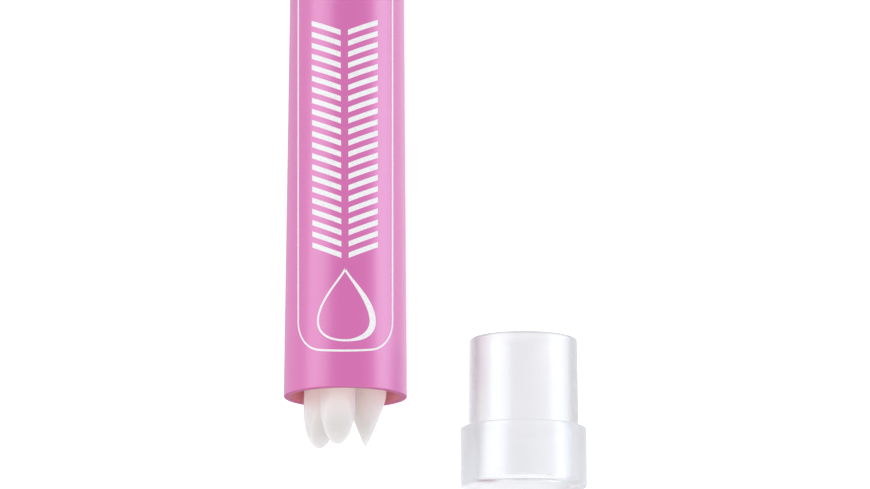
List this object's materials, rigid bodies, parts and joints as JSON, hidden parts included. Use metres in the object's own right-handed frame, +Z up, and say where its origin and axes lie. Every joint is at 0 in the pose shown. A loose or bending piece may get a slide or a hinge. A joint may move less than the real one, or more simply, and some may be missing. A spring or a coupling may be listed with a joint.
{
  "type": "nail polish corrector pen",
  "caption": "Tapered felt-tip corrector pen with a cap and a rear chamber of spare chisel tips, its clear end plug pulled off beside it.",
  "frame": {"origin": "middle of the floor under the whole object, as it lies with its plug pulled off", "axes": "+Z up from the surface that it lies on, +Y along the pen towards the cap's end, +X from the pen towards the pulled-off plug"},
  "size_m": [0.0344, 0.1428, 0.0143],
  "materials": {
    "pink_polypropylene": "satin gloss, injection moulded",
    "white_polypropylene": "satin",
    "natural_polyethylene": "soft, milky",
    "clear_polystyrene": "clear, polished mould",
    "white_felt": "dense pressed felt, ground to shape",
    "bonded_fibre": "fibre bundle",
    "wrap_film": "thin clear film"
  },
  "bodies": {
    "pen": {"barrel": "pink_polypropylene", "nib_holder": "white_polypropylene", "nib": "white_felt", "reservoir_core": "bonded_fibre", "reservoir_film": "wrap_film"},
    "cap": {"cap_shell": "pink_polypropylene", "cap_inner_seal": "natural_polyethylene"},
    "plug": {"end_plug": "clear_polystyrene"},
    "spare_1": {"spare_tip_1": "white_felt"},
    "spare_2": {"spare_tip_2": "white_felt"},
    "spare_3": {"spare_tip_3": "white_felt"}
  },
  "joints": [
    {"name": "cap_pull", "type": "slide", "parent": "pen", "child": "cap", "axis": [0, 1, -0.0086], "range_m": [0, 0.023]},
    {"name": "plug_pull", "type": "slide", "parent": "pen", "child": "plug", "axis": [0, -1, 0], "range_m": [-0.0036, 0.0126]},
    {"name": "spare_1_pull", "type": "slide", "parent": "pen", "child": "spare_1", "axis": [-0.0256, -0.9994, 0.0246], "range_m": [0, 0.0165]},
    {"name": "spare_2_pull", "type": "slide", "parent": "pen", "child": "spare_2", "axis": [-0.001, -0.9999, 0.013], "range_m": [0, 0.0165]},
    {"name": "spare_3_pull", "type": "slide", "parent": "pen", "child": "spare_3", "axis": [-0.014, -0.9998, -0.012], "range_m": [0, 0.0165]}
  ]
}
